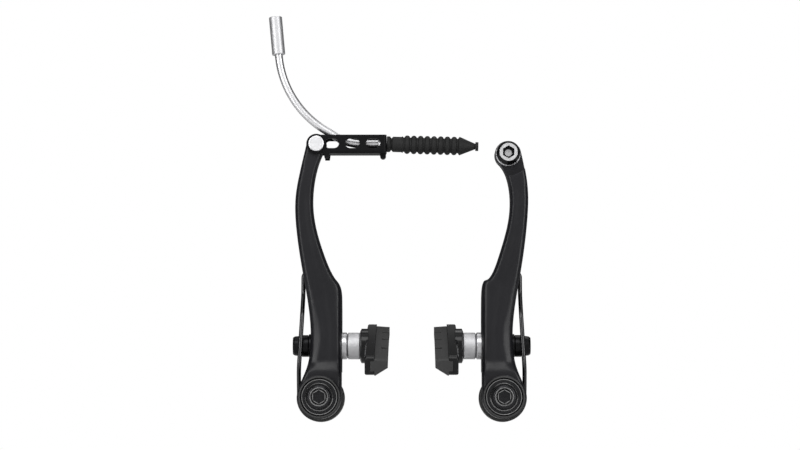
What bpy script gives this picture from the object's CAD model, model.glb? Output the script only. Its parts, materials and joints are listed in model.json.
import json
from collections import namedtuple
from math import copysign, cos, hypot, pi, radians, sin, sqrt

import bmesh
import bpy
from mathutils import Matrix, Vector


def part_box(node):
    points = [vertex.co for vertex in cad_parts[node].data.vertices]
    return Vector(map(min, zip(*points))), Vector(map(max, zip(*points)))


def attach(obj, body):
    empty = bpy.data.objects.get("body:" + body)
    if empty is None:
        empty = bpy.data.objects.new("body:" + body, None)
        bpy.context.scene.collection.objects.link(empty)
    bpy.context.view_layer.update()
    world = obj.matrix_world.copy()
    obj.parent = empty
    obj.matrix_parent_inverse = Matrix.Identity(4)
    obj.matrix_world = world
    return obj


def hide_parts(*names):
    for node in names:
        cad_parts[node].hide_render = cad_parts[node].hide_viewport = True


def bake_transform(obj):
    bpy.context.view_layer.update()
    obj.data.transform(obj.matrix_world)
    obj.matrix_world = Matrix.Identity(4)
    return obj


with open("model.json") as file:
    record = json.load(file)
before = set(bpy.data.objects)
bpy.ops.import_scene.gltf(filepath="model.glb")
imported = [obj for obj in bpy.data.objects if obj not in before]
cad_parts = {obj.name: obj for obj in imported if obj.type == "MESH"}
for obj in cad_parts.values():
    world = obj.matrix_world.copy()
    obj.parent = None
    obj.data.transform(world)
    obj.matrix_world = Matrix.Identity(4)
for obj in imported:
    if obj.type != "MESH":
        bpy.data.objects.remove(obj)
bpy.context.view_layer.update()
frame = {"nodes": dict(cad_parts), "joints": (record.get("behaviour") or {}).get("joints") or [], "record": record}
nodes = frame["nodes"]
joints = {joint["name"]: joint for joint in frame["joints"]}
slots = {row["node"]: row["material_slot"] for row in frame["record"]["subparts"]}
scene = bpy.context.scene
scene.view_settings.view_transform = "Standard"

# The two sides with the sign of their X, and millimetres in a metre
SIDES = (("left", -1.0), ("right", 1.0))
MM = 1000.0

# Camera at the photograph's angle, in metres and degrees, and its sensor in millimetres
VIEW_TARGET = Vector((-0.0051, 0.0, 0.0757))
VIEW_DISTANCE = 0.95
VIEW_AZIMUTH = 0.4
VIEW_ELEVATION = -6.0
FRAME_WIDTH = 0.352
CLIP_START = 0.01
SENSOR = 36.0

# World: strength on the object and as a backdrop, then strengths that reflections see and the
# parts of a direction along Y, Z and X between which they change: front, back, top and sides
WORLD_LEVEL = 0.3
BACKDROP_LEVEL = 1.0
FRONT_EDGE = -0.9
BACK_EDGE = -0.35
FRONT_LEVEL = 0.7
BACK_LEVEL = 0.11
TOP_START = 0.75
TOP_END = 0.98
FLAG_START = 0.75
FLAG_END = 0.95
FLAG_LEVEL = 0.1
WHITE = (1.0, 1.0, 1.0, 1.0)

# Soft boxes in metres and watts: name, place, width, height and power
LAMPS = (
    ("top_box", (-0.1, -0.75, 0.85), 0.7, 0.5, 4.0),
    ("left_strip", (-0.7, -0.65, 0.25), 0.26, 0.9, 4.4),
    ("right_strip", (0.7, -0.65, 0.25), 0.26, 0.9, 4.4),
    ("back_box", (0.2, 0.45, 1.25), 0.5, 0.5, 1.6),
)

# Floor in metres, well under the hanging brake, with its colour and roughness
FLOOR_SIZE = 6.0
FLOOR_HEIGHT = -0.06
FLOOR_COLOUR = (0.85, 0.85, 0.85, 1.0)
FLOOR_ROUGHNESS = 0.7

# Colour sockets of the Mix node, whose names it also gives to its other sockets
MIX_A = 6
MIX_B = 7
MIX_RESULT = 2

# Patterns of all finishes: roughness of the noise, its low and high values, samples of the rounded
# edges, and the cosines between flat and rounded normal where an edge starts and is full
NOISE_ROUGHNESS = 0.55
NOISE_RANGE = (0.3, 0.7)
BEVEL_SAMPLES = 4
EDGE_RANGE = (0.995, 0.86)

# Worn rings in metres: the bolts' socket and flange and the washers' rim, with their grey, and the
# arms' recess, with its share of the wear; then half the socket across flats, the depths behind
# the head's front where its hexagon ends, and the turn from one flat to the next
BOLT_RINGS = (0.0038, 0.00595)
WASHER_RINGS = (0.0076,)
RING_WIDTH = 0.0004
RING_DEPTH = 0.0002
RING_LEVEL = 0.3
RECESS_RING = 0.0087
RECESS_WIDTH = RECESS_RING / 18
RECESS_WEAR = 0.6
SOCKET_HALF = 0.00255
SOCKET_DEPTHS = (0.0018, 0.0014)
HEX_TURN = radians(60.0)

# Satin black: edges, patches, scuffs and relief in metres, noise that counts as a scuff, and how
# far the roughness strays down and up
SATIN_EDGE = 0.0004
SATIN_PATCH = 0.012
SATIN_SCUFF = 0.0035
SATIN_RELIEF = 0.000008
SATIN_SCUFFED = (0.45, 0.7)
SATIN_SPREAD = (0.04, 0.05)

# Black oxide: tool marks, rubbed patches and relief in metres, range and tint of its grey, noise
# and shares between which a ring is rubbed, and the spread of the roughness
OXIDE_TURNING = 0.0012
OXIDE_RUB = 0.003
OXIDE_RELIEF = 0.000002
OXIDE_RANGE = (0.8, 1.3)
OXIDE_TINT = 0.06
OXIDE_RUBBED = (0.3, 0.5, 0.5, 1.0)
OXIDE_SPREAD = (0.05, 0.06)

# Bare metal: edges, lines and smears in metres, noise that counts as a smear, tint, and how much
# paler an edge is, up to a limit
METAL_EDGE = 0.00025
METAL_LINE = 0.001
METAL_SMEAR = 0.006
METAL_SMEARED = (0.5, 0.8)
METAL_TINT = 0.02
METAL_EDGE_GAIN = 1.15
METAL_EDGE_LIMIT = 0.9

# Rubber: edges and patches in metres, noise that counts as bloom, spread of the roughness and
# specular level
RUBBER_EDGE = 0.0005
RUBBER_PATCH = 0.007
RUBBER_BLOOM = (0.35, 0.65)
RUBBER_SPREAD = (0.08, 0.08)
RUBBER_SPECULAR = 0.25

# Plastic: edges and patches in metres, how much paler an edge is, spread of the roughness and
# specular level
PLASTIC_EDGE = 0.0004
PLASTIC_PATCH = 0.009
PLASTIC_EDGE_GAIN = 1.8
PLASTIC_SPREAD = (0.06, 0.06)
PLASTIC_SPECULAR = 0.35

# Cable bolt: edges, tool marks and relief in metres, the normal's Y on its front, depths where the
# bright crown ends and radii where the centre mark ends, in metres, then its greys, three of them
# with a tint, and its roughness
HEAD_EDGE = 0.0002
HEAD_TURNING = 0.0008
HEAD_RELIEF = 0.000006
HEAD_FACING = (-0.9, -0.98)
HEAD_CROWN = (0.0012, 0.0008)
HEAD_MARK = (0.00165, 0.00145)
HEAD_DARK_SILVER = (0.58, 0.02)
HEAD_PALE_SILVER = (0.72, 0.01)
HEAD_BLACK = (0.016, 0.06)
HEAD_WORN = 0.16
HEAD_ROUGHNESS = 0.4
HEAD_SPREAD = (0.06, 0.06)

# Fronts of the arms in millimetres: the radius that stays plain about the pivot and the way over
# which the shape starts past it, the lowest cut, where the shape ends and how far below that it
# fades and is gone, how far behind the front the sides move fully and not at all, and the steps
# between cuts, level and upright
EYE_CLEAR = 10.5
EYE_FADE = 5.0
FRONT_START = EYE_CLEAR - 2.0
FRONT_END = {"left": 106.0, "right": 97.0}
END_FADE = 7.0
END_PLAIN = 1.0
SIDE_FULL = 1.0
SIDE_NONE = 4.0
LEVEL_STEP = 1.5
STATION_STEP = LEVEL_STEP / 2

# The same fronts: slope of the band along the outer edge and softness of its inner side, then by
# height over the pivot the band's width, depth of the hollow beside it, share of the width where
# the crest lies, roll past it
BAND_SLOPE = 0.4
BAND_EDGE = 0.8
ARM_FRONT = (
    (9.0, 3.0, 0.0, 0.7, 0.0),
    (15.0, 3.9, 0.15, 0.65, 1.0),
    (27.0, 4.5, 0.3, 0.6, 1.6),
    (43.0, 2.6, 0.35, 0.6, 1.6),
    (55.0, 1.9, 0.3, 0.65, 1.0),
    (80.0, 1.6, 0.25, 0.7, 0.8),
    (104.0, 1.4, 0.0, 0.7, 0.6),
)

# Meshes: the normal's Y up to which a face is a front, how close points count as one and as on a
# level, in metres, and the angle from which an edge stays sharp, in degrees
FRONT_FACING = -0.3
MERGE = 1e-7
ON_LEVEL = 1e-6
CORNER_ANGLE = 32.0

# Shoes in metres: end wall of the holder, gap beside the pad, and how close to a plane a point
# counts as on it
END_WALL = 0.0016
PAD_GAP = 0.0003
NEAR = 0.00005

# Springs in metres over their lowest point: where the bend starts and ends, where the wire's bow
# past the shoe's washers begins and ends, and the bow's depth
BOW_RISE = (0.008, 0.015)
BOW_FALL = (0.034, 0.041)
WIRE_BOW = 0.0005

# A pad's tongue in its holder: the pad's back and the tongue's far side, outwards from the middle,
# two corners of its near end, the direction between them and the one along the tongue
Tongue = namedtuple("Tongue", "back tail first second across along")


def add_camera():
    """Camera that looks at the target from the photograph's side."""
    turn, rise = radians(VIEW_AZIMUTH), radians(VIEW_ELEVATION)
    back = Vector((sin(turn) * cos(rise), -cos(turn) * cos(rise), sin(rise)))
    data = bpy.data.cameras.new("camera")
    data.sensor_width = SENSOR
    data.lens = SENSOR * VIEW_DISTANCE / FRAME_WIDTH
    data.clip_start = CLIP_START
    camera = bpy.data.objects.new("camera", data)
    camera.location = VIEW_TARGET + back * VIEW_DISTANCE
    camera.rotation_euler = back.to_track_quat("Z", "Y").to_euler()
    scene.collection.objects.link(camera)
    scene.camera = camera


class Nodes:
    """A small helper for building one node tree."""

    def __init__(self, owner):
        owner.use_nodes = True
        self.tree = owner.node_tree
        self.tree.nodes.clear()
        self.coords = self.add("ShaderNodeTexCoord")

    def add(self, kind, **settings):
        """A node with its settings."""
        node = self.tree.nodes.new(kind)
        for key, value in settings.items():
            setattr(node, key, value)
        return node

    def link(self, source, target):
        """Join two sockets."""
        self.tree.links.new(source, target)

    def feed(self, socket, value):
        """Join a socket to another one, or set its number."""
        if isinstance(value, bpy.types.NodeSocket):
            self.link(value, socket)
        else:
            socket.default_value = value

    def split(self, vector):
        """The X, Y and Z of a vector."""
        node = self.add("ShaderNodeSeparateXYZ")
        self.link(vector, node.inputs["Vector"])
        return node.outputs["X"], node.outputs["Y"], node.outputs["Z"]

    def math(self, operation, a, b=0.0):
        """One sum on two values."""
        node = self.add("ShaderNodeMath", operation=operation)
        self.feed(node.inputs[0], a)
        self.feed(node.inputs[1], b)
        return node.outputs["Value"]

    def span(self, value, low, high, to_low=0.0, to_high=1.0):
        """Map a range of values on another, kept inside it."""
        node = self.add("ShaderNodeMapRange")
        keys = ("Value", "From Min", "From Max", "To Min", "To Max")
        for key, end in zip(keys, (value, low, high, to_low, to_high)):
            self.feed(node.inputs[key], end)
        return node.outputs["Result"]


class Graph(Nodes):
    """The nodes of one material."""

    def __init__(self, name):
        self.material = bpy.data.materials.new(name)
        super().__init__(self.material)
        self.shader = self.add("ShaderNodeBsdfPrincipled")
        out = self.add("ShaderNodeOutputMaterial")
        self.link(self.shader.outputs["BSDF"], out.inputs["Surface"])
        self.place = self.coords.outputs["Object"]

    def noise(self, size, detail=3.0, place=None):
        """Noise with features of about the given size in metres."""
        node = self.add("ShaderNodeTexNoise")
        self.link(place or self.place, node.inputs["Vector"])
        node.inputs["Scale"].default_value = 1.0 / size
        node.inputs["Detail"].default_value = detail
        node.inputs["Roughness"].default_value = NOISE_ROUGHNESS
        return node.outputs["Fac"]

    def mix(self, share, a, b):
        """Blend two colours."""
        node = self.add("ShaderNodeMix", data_type="RGBA")
        self.feed(node.inputs["Factor"], share)
        for index, value in ((MIX_A, a), (MIX_B, b)):
            linked = isinstance(value, bpy.types.NodeSocket)
            self.feed(node.inputs[index], value if linked else (*value, 1.0))
        return node.outputs[MIX_RESULT]

    def stretched(self, scale):
        """Object coordinates scaled along each axis."""
        node = self.add("ShaderNodeMapping")
        self.link(self.place, node.inputs["Vector"])
        node.inputs["Scale"].default_value = scale
        return node.outputs["Vector"]

    def edges(self, radius):
        """(mask of the sharp edges, normal rounded over them)."""
        bevel = self.add("ShaderNodeBevel", samples=BEVEL_SAMPLES)
        bevel.inputs["Radius"].default_value = radius
        geometry = self.add("ShaderNodeNewGeometry")
        dot = self.add("ShaderNodeVectorMath", operation="DOT_PRODUCT")
        self.link(bevel.outputs["Normal"], dot.inputs[0])
        self.link(geometry.outputs["Normal"], dot.inputs[1])
        return self.span(dot.outputs["Value"], *EDGE_RANGE), bevel.outputs["Normal"]

    def offsets(self, node):
        """Steps across and up from a node's middle line along Y, or from its mirror image's."""
        low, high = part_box(node)
        place_x, _, place_z = self.split(self.place)
        across = self.math("SUBTRACT", self.math("ABSOLUTE", place_x), abs(low.x + high.x) / 2)
        return across, self.math("SUBTRACT", place_z, (low.z + high.z) / 2)

    def radius(self, node):
        """Distance from a node's middle line along Y, or from its mirror image's."""
        squares = [self.math("MULTIPLY", step, step) for step in self.offsets(node)]
        return self.math("SQRT", self.math("ADD", *squares))

    def line(self, distance, place, width):
        """Mask of a line where a distance has one value."""
        gap = self.math("ABSOLUTE", self.math("SUBTRACT", distance, place))
        return self.span(gap, width, width / 2)

    def ring(self, node, radius, width):
        """Mask of a ring about a node's middle line."""
        return self.line(self.radius(node), radius, width)

    def hexagon(self, node, half, width):
        """Mask of a socket's hexagon about a node's middle line, by half its size across flats."""
        across, up = (self.math("ABSOLUTE", step) for step in self.offsets(node))
        turned_across = self.math("MULTIPLY", across, cos(HEX_TURN))
        turned_up = self.math("MULTIPLY", up, sin(HEX_TURN))
        slant = self.math("ADD", turned_across, turned_up)
        outline = self.line(self.math("MAXIMUM", across, slant), half, width)
        depth = self.math("SUBTRACT", self.split(self.place)[1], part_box(node)[0].y)
        return self.math("MULTIPLY", outline, self.span(depth, *SOCKET_DEPTHS))

    def gloss(self, pattern, roughness, spread):
        """Roughness that strays down and up with a noise pattern."""
        below, above = spread
        return self.span(pattern, *NOISE_RANGE, roughness - below, roughness + above)

    def bump(self, height, depth, normal=None):
        """Normal of a surface with the given height pattern, depth in metres."""
        node = self.add("ShaderNodeBump")
        node.inputs["Distance"].default_value = depth
        self.link(height, node.inputs["Height"])
        if normal is not None:
            self.link(normal, node.inputs["Normal"])
        return node.outputs["Normal"]

    def finish(self, colour, roughness, normal, **numbers):
        """Set the shader's inputs."""
        self.feed(self.shader.inputs["Base Color"], colour)
        self.feed(self.shader.inputs["Roughness"], roughness)
        self.link(normal, self.shader.inputs["Normal"])
        for key, value in numbers.items():
            self.shader.inputs[key.replace("_", " ")].default_value = value
        return self.material


def grey(level, tint=0.0):
    """A grey, a little blue where tint is above 0."""
    return (level, level, level * (1.0 + tint))


def black_satin(name, low, high, roughness, grain, wear, tint, specular, ring=None):
    """Satin black coat with mottling, grain, paler rubbed edges and, if given, a ring at the eye."""
    graph = Graph(name)
    edge, round_normal = graph.edges(SATIN_EDGE)
    patches = graph.noise(SATIN_PATCH)
    body = graph.mix(patches, grey(low, tint), grey(high, tint))
    scuffs = graph.span(graph.noise(SATIN_SCUFF, detail=5.0), *SATIN_SCUFFED)
    colour = graph.mix(graph.math("MULTIPLY", edge, scuffs), body, grey(wear, tint))
    if ring:
        rim = graph.ring("right_fixing_bolt", ring, RECESS_WIDTH)
        colour = graph.mix(rim, colour, grey(wear * RECESS_WEAR))
    fine = graph.noise(grain, detail=2.0)
    gloss = graph.gloss(patches, roughness, SATIN_SPREAD)
    normal = graph.bump(fine, SATIN_RELIEF, round_normal)
    return graph.finish(colour, gloss, normal, Specular_IOR_Level=specular)


def black_oxide(name, level, roughness, node=None, rings=(), socket=None):
    """Turned steel with a thin black coat, rubbed bright about the node's middle line."""
    graph = Graph(name)
    turned = graph.noise(OXIDE_TURNING)
    dark, pale = (grey(level * share, OXIDE_TINT) for share in OXIDE_RANGE)
    colour = graph.mix(turned, dark, pale)
    rub = graph.span(graph.noise(OXIDE_RUB, detail=4.0), *OXIDE_RUBBED)
    normal = graph.bump(turned, OXIDE_RELIEF)
    for radius in rings:
        near = graph.ring(node, radius, RING_WIDTH)
        colour = graph.mix(graph.math("MULTIPLY", near, rub), colour, grey(RING_LEVEL))
        normal = graph.bump(near, RING_DEPTH, normal)
    if socket:
        colour = graph.mix(graph.hexagon(node, socket, RING_WIDTH), colour, grey(RING_LEVEL))
    gloss = graph.gloss(turned, roughness, OXIDE_SPREAD)
    return graph.finish(colour, gloss, normal, Metallic=1.0)


def bare_metal(name, level, roughness, stretch, relief, spread=0.06, fade=0.14, corners=True):
    """Metal with fine lines or grain, set by how the coordinates are stretched."""
    graph = Graph(name)
    lines = graph.noise(METAL_LINE, detail=4.0, place=graph.stretched(stretch))
    smears = graph.noise(METAL_SMEAR)
    dull = grey(level * (1.0 - fade), METAL_TINT)
    body = graph.mix(lines, dull, grey(level, METAL_TINT))
    colour = graph.mix(graph.span(smears, *METAL_SMEARED), body, dull)
    round_normal = None
    if corners:
        edge, round_normal = graph.edges(METAL_EDGE)
        pale = grey(min(level * METAL_EDGE_GAIN, METAL_EDGE_LIMIT), METAL_TINT)
        colour = graph.mix(edge, colour, pale)
    gloss = graph.gloss(lines, roughness, (spread, spread))
    normal = graph.bump(lines, relief, round_normal)
    return graph.finish(colour, gloss, normal, Metallic=1.0)


def rubber(name, low, high, roughness, grain, relief, bloom):
    """Moulded rubber with grain and a pale bloom on its raised edges."""
    graph = Graph(name)
    edge, round_normal = graph.edges(RUBBER_EDGE)
    fine = graph.noise(grain, detail=4.0)
    patches = graph.noise(RUBBER_PATCH)
    body = graph.mix(patches, grey(low), grey(high))
    rubbed = graph.math("MULTIPLY", edge, graph.span(patches, *RUBBER_BLOOM))
    colour = graph.mix(rubbed, body, grey(bloom))
    gloss = graph.gloss(fine, roughness, RUBBER_SPREAD)
    normal = graph.bump(fine, relief, round_normal)
    return graph.finish(colour, gloss, normal, Specular_IOR_Level=RUBBER_SPECULAR)


def plastic(name, low, high, roughness, grain, relief):
    """Moulded plastic with a fine spark-eroded texture."""
    graph = Graph(name)
    edge, round_normal = graph.edges(PLASTIC_EDGE)
    fine = graph.noise(grain)
    body = graph.mix(graph.noise(PLASTIC_PATCH), grey(low), grey(high))
    pale = grey(high * PLASTIC_EDGE_GAIN)
    colour = graph.mix(graph.math("MULTIPLY", edge, fine), body, pale)
    gloss = graph.gloss(fine, roughness, PLASTIC_SPREAD)
    normal = graph.bump(fine, relief, round_normal)
    return graph.finish(colour, gloss, normal, Specular_IOR_Level=PLASTIC_SPECULAR)


def machined_head(name, node):
    """Black bolt whose front face and socket's centre mark are bare bright metal."""
    graph = Graph(name)
    edge, round_normal = graph.edges(HEAD_EDGE)
    front = graph.span(graph.split(graph.coords.outputs["Normal"])[1], *HEAD_FACING)
    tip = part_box(node)[0].y
    crown_ends = (tip + depth for depth in HEAD_CROWN)
    crown = graph.span(graph.split(graph.place)[1], *crown_ends)
    mark = graph.span(graph.radius(node), *HEAD_MARK)
    bright = graph.math("MULTIPLY", front, graph.math("MAXIMUM", crown, mark))
    turned = graph.noise(HEAD_TURNING, detail=4.0)
    silver = graph.mix(turned, grey(*HEAD_DARK_SILVER), grey(*HEAD_PALE_SILVER))
    worn = graph.mix(edge, grey(*HEAD_BLACK), grey(HEAD_WORN))
    colour = graph.mix(bright, worn, silver)
    gloss = graph.gloss(turned, HEAD_ROUGHNESS, HEAD_SPREAD)
    normal = graph.bump(turned, HEAD_RELIEF, round_normal)
    return graph.finish(colour, gloss, normal, Metallic=1.0)


# Finish of each material slot: greys are linear, grain and relief in metres
FINISHES = {
    "arm_black": (
        black_satin,
        dict(low=0.006, high=0.009, roughness=0.35, grain=0.00035,
             wear=0.07, tint=0.25, specular=0.28, ring=RECESS_RING),
    ),
    "holder_black": (
        black_satin,
        dict(low=0.002, high=0.003, roughness=0.18, grain=0.0004,
             wear=0.04, tint=0.12, specular=0.28),
    ),
    "link_black": (
        black_satin,
        dict(low=0.003, high=0.006, roughness=0.4, grain=0.0003,
             wear=0.035, tint=0.12, specular=0.1),
    ),
    "bolt_black": (black_oxide, dict(level=0.03, roughness=0.24)),
    "steel": (
        bare_metal,
        dict(level=0.6, roughness=0.34, stretch=(2.2, 2.2, 2.2), relief=0.00001),
    ),
    "spring_steel": (
        bare_metal,
        dict(level=0.06, roughness=0.2, stretch=(0.5, 0.5, 0.1), relief=0.000002,
             spread=0.05, fade=0.1, corners=False),
    ),
    "pipe_steel": (
        bare_metal,
        dict(level=0.72, roughness=0.38, stretch=(0.3, 0.3, 0.3), relief=0.000001,
             spread=0.02, fade=0.06, corners=False),
    ),
    "ferrule_alloy": (
        bare_metal,
        dict(level=0.62, roughness=0.5, stretch=(1.2, 1.2, 0.2), relief=0.000001,
             spread=0.03, fade=0.06, corners=False),
    ),
    "housing_plastic": (
        plastic,
        dict(low=0.009, high=0.013, roughness=0.42, grain=0.0004, relief=0.000012),
    ),
    "liner_plastic": (
        plastic,
        dict(low=0.6, high=0.7, roughness=0.4, grain=0.0006, relief=0.000005),
    ),
    "pad_rubber": (
        rubber,
        dict(low=0.03, high=0.042, roughness=0.55, grain=0.0005, relief=0.00003, bloom=0.07),
    ),
    "boot_rubber": (
        rubber,
        dict(low=0.008, high=0.012, roughness=0.62, grain=0.0004, relief=0.00002, bloom=0.03),
    ),
}


def own_finishes():
    """Materials of the nodes that differ from their slot's finish."""
    grained = bare_metal(
        "steel_grained", level=0.62, roughness=0.58, stretch=(1.6, 1.6, 1.6), relief=0.00008, spread=0.12
    )
    bright = bare_metal(
        "steel_bright", level=0.9, roughness=0.42, stretch=(1.4, 1.4, 1.4), relief=0.000006
    )
    side_black = black_oxide("bolt_black_side", level=0.014, roughness=0.3)
    worn_bolt = black_oxide(
        "fixing_bolt_worn", level=0.03, roughness=0.24,
        node="right_fixing_bolt", rings=BOLT_RINGS, socket=SOCKET_HALF,
    )
    worn_washer = black_oxide(
        "bolt_washer_worn", level=0.03, roughness=0.3, node="right_bolt_washer", rings=WASHER_RINGS
    )
    by_node = {
        "cable_bolt": machined_head("cable_bolt_two_tone", "cable_bolt"),
        "cable_washer": bright,
        "link_pin": bright,
    }
    for side, _ in SIDES:
        by_node[f"{side}_cup_spacer"] = grained
        by_node[f"{side}_fixing_bolt"] = worn_bolt
        by_node[f"{side}_bolt_washer"] = worn_washer
        for node in ("outer_dome_washer", "outer_cup_washer", "shoe_nut"):
            by_node[f"{side}_{node}"] = side_black
    return by_node


def add_materials():
    """Give every node its material by the record's slot, or one of its own."""
    by_slot = {slot: finish(slot, **numbers) for slot, (finish, numbers) in FINISHES.items()}
    by_node = own_finishes()
    for node, slot in slots.items():
        data = nodes[node].data
        data.materials.clear()
        data.materials.append(by_node.get(node, by_slot[slot]))


def copied(node, name):
    """A new piece with a node's mesh, which stands for that node."""
    piece = bpy.data.objects.new(name, nodes[node].data.copy())
    scene.collection.objects.link(piece)
    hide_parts(node)
    return piece


def smoothed(mesh):
    """Smooth shading apart from real corners, on a mesh whose points have moved."""
    normals = mesh.attributes.get("custom_normal")
    if normals is not None:
        mesh.attributes.remove(normals)
    mesh.shade_smooth()
    mesh.set_sharp_from_angle(angle=radians(CORNER_ANGLE))


def straight(value, low, high):
    """0 below low, 1 above high and a straight line between them."""
    return min(max((value - low) / (high - low), 0.0), 1.0)


def smooth(value, low, high):
    """0 below low, 1 above high and a smooth step between them."""
    share = straight(value, low, high)
    return share * share * (3.0 - 2.0 * share)


def at_height(rows, height, step):
    """What rows that begin with a height hold at another one, passing from row to row by step."""
    for low, high in zip(rows, rows[1:]):
        if height <= high[0]:
            share = step(height, low[0], high[0])
            return [a + (b - a) * share for a, b in zip(low[1:], high[1:])]
    return rows[-1][1:]


def arm_drop(inset, width, height):
    """How far an arm's front lies behind its CAD face, by the distance from its outer edge."""
    band, hollow, crest, roll = at_height(ARM_FRONT, height, smooth)
    gap = band - inset
    drop = BAND_SLOPE * (gap + sqrt(gap * gap + BAND_EDGE * BAND_EDGE)) / 2
    top = band + (width - band) * crest
    if band < inset < top:
        drop += hollow * sin(pi * (inset - band) / (top - band)) ** 2
    if inset > top:
        drop += roll * ((inset - top) / (width - top)) ** 3
    return drop


def cut_front(shape, pivot_x, levels, stations):
    """Split the triangles of an arm's front along level and upright lines."""
    parts = set()
    for face in shape.faces:
        reach = max(hypot(point.co.x - pivot_x, point.co.z) for point in face.verts)
        if face.normal.y < FRONT_FACING and reach > EYE_CLEAR / MM:
            parts.update([face, *face.edges, *face.verts])
    cuts = [((0.0, 0.0, level), (0.0, 0.0, 1.0)) for level in levels]
    cuts += [((station, 0.0, 0.0), (1.0, 0.0, 0.0)) for station in stations]
    for place, normal in cuts:
        result = bmesh.ops.bisect_plane(
            shape, geom=list(parts), dist=MERGE, plane_co=place, plane_no=normal
        )
        parts = set(result["geom"])


def front_rows(shape, pivot_x, sign, levels):
    """(height, outer edge, inner edge, front) of an arm at each level, in millimetres."""
    rows = []
    for level in levels:
        row = [point.co for point in shape.verts if abs(point.co.z - level) < ON_LEVEL]
        insets = [(pivot_x - place.x) * sign * MM for place in row]
        front = min(place.y for place in row) * MM
        rows.append((level * MM, min(insets), max(insets), front))
    return rows


def press_front(shape, pivot_x, sign, rows, end):
    """Move the points of an arm's front back to its soft shape."""
    for point in shape.verts:
        height = point.co.z * MM
        reach = hypot(point.co.x - pivot_x, point.co.z) * MM
        fade = smooth(reach, EYE_CLEAR, EYE_CLEAR + EYE_FADE)
        fade *= 1.0 - smooth(height, end - END_FADE, end - END_PLAIN)
        if fade == 0.0 or height < rows[0][0]:
            continue
        outer, inner, front = at_height(rows, height, straight)
        inset = (pivot_x - point.co.x) * sign * MM - outer
        inset = min(max(inset, 0.0), inner - outer)
        sink = 1.0 - smooth(point.co.y * MM - front, SIDE_FULL, SIDE_NONE)
        point.co.y += arm_drop(inset, inner - outer, height) * fade * sink / MM


def add_arms():
    """Arms whose fronts have a soft band along the outer edge, a hollow and a rolled inner edge."""
    for side, sign in SIDES:
        piece = copied(f"{side}_arm", f"{side}_arm_forged")
        low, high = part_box(f"{side}_arm")
        pivot_x = joints[f"{side}_arm_turn"]["pos_m"][0]
        end = FRONT_END[side]
        level_count = int(end / LEVEL_STEP)
        levels = [(FRONT_START + step * LEVEL_STEP) / MM for step in range(level_count)]
        station_count = int((high.x - low.x) * MM / STATION_STEP)
        stations = [low.x + step * STATION_STEP / MM for step in range(1, station_count)]

        shape = bmesh.new()
        shape.from_mesh(piece.data)
        bmesh.ops.remove_doubles(shape, verts=shape.verts, dist=MERGE)
        cut_front(shape, pivot_x, levels, stations)
        press_front(shape, pivot_x, sign, front_rows(shape, pivot_x, sign, levels), end)
        shape.to_mesh(piece.data)
        shape.free()
        smoothed(piece.data)
        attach(piece, f"{side}_lever")


def pad_tongue(mesh, sign):
    """Measure the tongue of a pad."""
    places = [point.co for point in mesh.vertices]
    tail = max(place.x * sign for place in places)
    back = max(place.x * sign for place in places if place.x * sign < tail - NEAR)
    on_tail = [place.copy() for place in places if place.x * sign > tail - NEAR]
    first, second = sorted(on_tail, key=lambda place: place.y)[:2]
    across = (second - first).normalized()
    along = Vector((0.0, abs(across.z), -across.y * copysign(1.0, across.z)))
    return Tongue(back, tail, first, second, across, along)


def fit_pad(mesh, sign, tongue):
    """Stand a pad off its holder and shorten its tongue behind the holder's end wall."""
    for point in mesh.vertices:
        outward = point.co.x * sign
        if abs(outward - tongue.back) < NEAR:
            point.co.x -= sign * PAD_GAP
        elif outward > tongue.tail - NEAR and (point.co - tongue.first).dot(tongue.along) < END_WALL:
            point.co += tongue.along * END_WALL


def close_holder(mesh, sign, tongue):
    """Close the near end of a holder's channel with a wall."""
    shape = bmesh.new()
    shape.from_mesh(mesh)
    gap = tongue.across * PAD_GAP
    corners = []
    for outward in (tongue.back, tongue.tail + PAD_GAP):
        for end in (tongue.first - gap, tongue.second + gap):
            for depth in (0.0, END_WALL):
                place = end + tongue.along * depth
                corners.append(shape.verts.new((outward * sign, place.y, place.z)))
    bmesh.ops.convex_hull(shape, input=corners)
    shape.to_mesh(mesh)
    shape.free()


def add_shoes():
    """Holders closed at their near end, and pads that stand off them with a dark gap."""
    for side, sign in SIDES:
        pad = copied(f"{side}_shoe_pad", f"{side}_pad_moulded")
        holder = copied(f"{side}_shoe_holder", f"{side}_holder_moulded")
        tongue = pad_tongue(pad.data, sign)
        fit_pad(pad.data, sign, tongue)
        close_holder(holder.data, sign, tongue)
        for piece, slot in ((pad, "pad_rubber"), (holder, "holder_black")):
            smoothed(piece.data)
            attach(piece, f"{side}_shoe")


def add_springs():
    """Return springs whose feet stay in their housings when the arms turn."""
    for side, _ in SIDES:
        piece = copied(f"{side}_return_spring", f"{side}_spring_wire")
        low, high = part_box(f"{side}_return_spring")
        for point in piece.data.vertices:
            height = point.co.z - low.z
            point.co.y -= WIRE_BOW * smooth(height, *BOW_RISE) * (1.0 - smooth(height, *BOW_FALL))
        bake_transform(piece)


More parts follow.
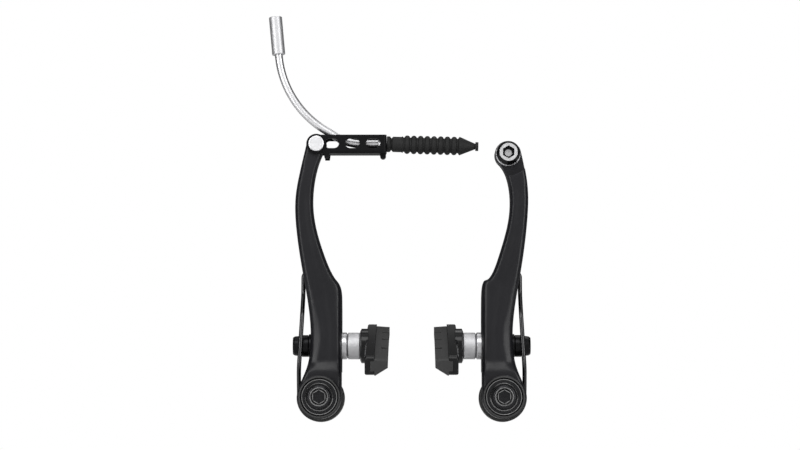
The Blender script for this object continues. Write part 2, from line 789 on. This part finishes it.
def add_stage():
    """Plain pale floor."""
    bpy.ops.mesh.primitive_plane_add(size=FLOOR_SIZE, location=(0.0, 0.0, FLOOR_HEIGHT))
    floor = bpy.context.object
    floor.name = "floor"
    graph = Graph("floor_white")
    graph.shader.inputs["Base Color"].default_value = FLOOR_COLOUR
    graph.shader.inputs["Roughness"].default_value = FLOOR_ROUGHNESS
    floor.data.materials.append(graph.material)


def white_light(graph, strength):
    """White light of the world, with the given strength."""
    node = graph.add("ShaderNodeBackground")
    node.inputs["Color"].default_value = WHITE
    graph.feed(node.inputs["Strength"], strength)
    return node.outputs["Background"]


def add_world():
    """Soft even light and a white backdrop; reflections see it pale in front and above, dark aside."""
    world = bpy.data.worlds.new("studio")
    graph = Nodes(world)
    path = graph.add("ShaderNodeLightPath")
    sideways, ahead, up = graph.split(graph.coords.outputs["Generated"])
    level = graph.span(ahead, FRONT_EDGE, BACK_EDGE, FRONT_LEVEL, BACK_LEVEL)
    level = graph.math("MAXIMUM", level, graph.span(up, TOP_START, TOP_END))
    flags = graph.span(graph.math("ABSOLUTE", sideways), FLAG_START, FLAG_END, 1.0, FLAG_LEVEL)
    level = graph.math("MULTIPLY", level, flags)
    shown = graph.math("MAXIMUM", path.outputs["Is Camera Ray"], path.outputs["Is Transmission Ray"])
    surface = white_light(graph, WORLD_LEVEL)
    for share, strength in ((path.outputs["Is Glossy Ray"], level), (shown, BACKDROP_LEVEL)):
        mix = graph.add("ShaderNodeMixShader")
        graph.link(share, mix.inputs["Fac"])
        graph.link(surface, mix.inputs[1])
        graph.link(white_light(graph, strength), mix.inputs[2])
        surface = mix.outputs["Shader"]
    graph.link(surface, graph.add("ShaderNodeOutputWorld").inputs["Surface"])
    scene.world = world


def add_lamps():
    """Soft boxes that point at the brake."""
    for name, place, width, height, power in LAMPS:
        data = bpy.data.lights.new(name, "AREA")
        data.shape = "RECTANGLE"
        data.size = width
        data.size_y = height
        data.energy = power
        lamp = bpy.data.objects.new(name, data)
        lamp.location = place
        lamp.rotation_euler = (Vector(place) - VIEW_TARGET).to_track_quat("Z", "Y").to_euler()
        scene.collection.objects.link(lamp)


add_camera()
add_materials()
add_arms()
add_shoes()
add_springs()
add_stage()
add_world()
add_lamps()
